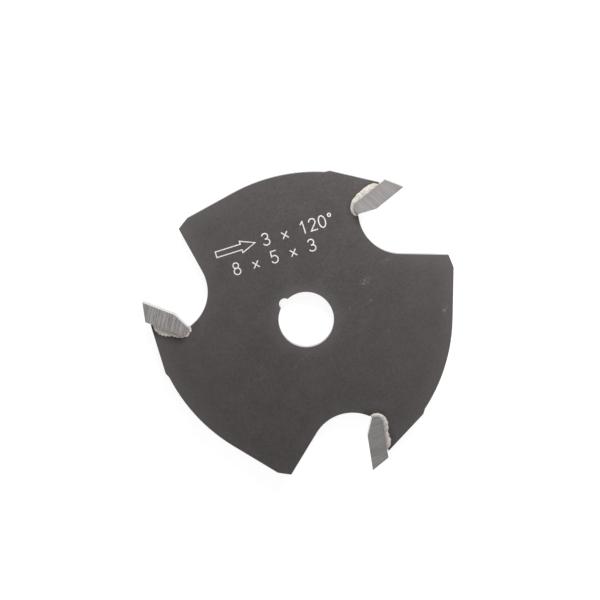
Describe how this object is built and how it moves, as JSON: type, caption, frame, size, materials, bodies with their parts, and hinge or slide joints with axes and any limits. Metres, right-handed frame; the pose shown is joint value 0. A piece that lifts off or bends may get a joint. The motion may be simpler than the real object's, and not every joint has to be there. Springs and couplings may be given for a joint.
{
  "type": "slotting cutter",
  "caption": "Flat disc cutter for slots and grooves, with brazed hard-metal tips, hook-shaped gullets and a plain arbor bore.",
  "frame": {"origin": "centre of the arbor bore at half the body's thickness", "axes": "+Z along the bore towards the face that shows in the picture, from which the cutter turns clockwise; +X to the right and +Y up in that picture"},
  "size_m": [0.045, 0.044, 0.005],
  "materials": {
    "blackened_steel": "dark matt oxide on sheet steel",
    "hard_metal": "grey sintered carbide, ground with fine lines",
    "braze_metal": "pale silver solder, lumpy and satin"
  },
  "bodies": {
    "root": {"cutter_body": "blackened_steel", "carbide_tip_1": "hard_metal", "carbide_tip_2": "hard_metal", "carbide_tip_3": "hard_metal", "braze_joint_1": "braze_metal", "braze_joint_2": "braze_metal", "braze_joint_3": "braze_metal"}
  },
  "joints": []
}
